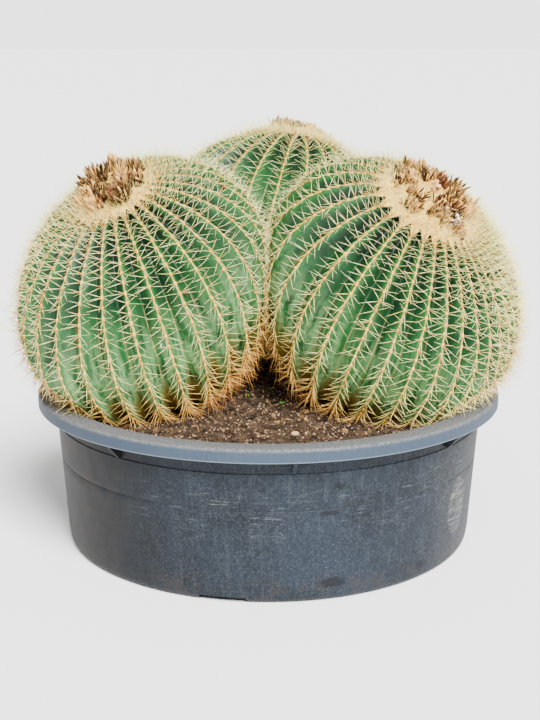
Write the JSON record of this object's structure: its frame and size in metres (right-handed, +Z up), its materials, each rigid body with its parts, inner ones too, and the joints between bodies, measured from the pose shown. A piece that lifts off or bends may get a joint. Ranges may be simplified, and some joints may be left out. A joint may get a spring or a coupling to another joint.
{
  "type": "potted round cactus",
  "caption": "Cluster of round ribbed cacti with woolly crowns, dried flowers and dense spines, in a low round nursery tub of soil.",
  "frame": {"origin": "centre of the tub's flat base, on the ground", "axes": "+Z up out of the tub; +X to the right along the two front heads as seen from the front; -Y towards the viewer, where the soil shows between them"},
  "size_m": [0.769, 0.7854, 0.6301],
  "materials": {
    "tub": "matte",
    "soil": "matte",
    "skin": "satin",
    "wool": "matte",
    "flower": "matte"
  },
  "bodies": {
    "root": {"tub": "tub", "soil": "soil", "cactus_left": "skin", "cactus_right": "skin", "cactus_back": "skin", "crown_wool_left": "wool", "crown_wool_right": "wool", "crown_wool_back": "wool", "dried_flowers_left": "flower", "dried_flowers_right": "flower", "dried_flowers_back": "flower"}
  },
  "joints": []
}
